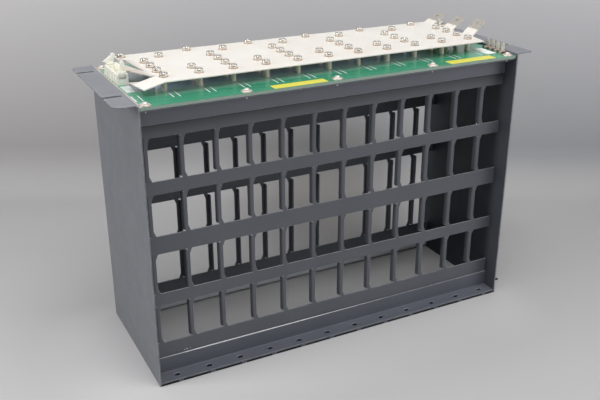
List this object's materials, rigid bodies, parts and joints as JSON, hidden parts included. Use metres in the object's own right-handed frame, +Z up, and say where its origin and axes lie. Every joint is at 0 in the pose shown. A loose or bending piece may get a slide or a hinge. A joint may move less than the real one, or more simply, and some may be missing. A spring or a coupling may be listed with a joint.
{
  "type": "card cage",
  "caption": "Rack-mount card cage of painted sheet metal, with slotted guide panels, a backplane board, a screwed bus bar, power lugs and a power header.",
  "frame": {"origin": "middle of the footprint, on the floor, with the cage standing on its open card side", "axes": "+X along the rack width to the right, +Y from the near guide panel to the far one, +Z up, out of the backplane"},
  "size_m": [0.4826, 0.1684, 0.3322],
  "materials": {
    "plate_paint": "satin",
    "panel_paint": "satin",
    "rail_paint": "satin",
    "stud": "dark",
    "board": "glossy",
    "bus_insulation": "matte",
    "screws": "satin",
    "standoffs": "satin",
    "lugs": "tinned",
    "tabs": "tinned",
    "header": "translucent",
    "latches": "satin",
    "tab_base": "matte",
    "connectors": "matte"
  },
  "bodies": {
    "root": {"backplane_board": "board", "board_screws": "screws", "bus_bar": "bus_insulation", "bus_screws": "screws", "far_front_rail": "rail_paint", "far_guide_panel": "panel_paint", "far_latch": "latches", "far_rear_rail": "rail_paint", "left_side_plate": "plate_paint", "near_front_rail": "rail_paint", "near_guide_panel": "panel_paint", "near_latch": "latches", "near_rear_rail": "rail_paint", "power_header": "header", "power_lug_far": "lugs", "power_lug_mid": "lugs", "power_lug_near": "lugs", "power_tab_1": "tabs", "power_tab_2": "tabs", "power_tab_3": "tabs", "power_tab_4": "tabs", "right_side_plate": "plate_paint", "side_stud": "stud", "slot_connector_1": "connectors", "slot_connector_10": "connectors", "slot_connector_11": "connectors", "slot_connector_12": "connectors", "slot_connector_2": "connectors", "slot_connector_3": "connectors", "slot_connector_4": "connectors", "slot_connector_5": "connectors", "slot_connector_6": "connectors", "slot_connector_7": "connectors", "slot_connector_8": "connectors", "slot_connector_9": "connectors", "tab_base": "tab_base", "thick_standoffs": "standoffs", "thin_standoffs": "standoffs"}
  },
  "joints": []
}
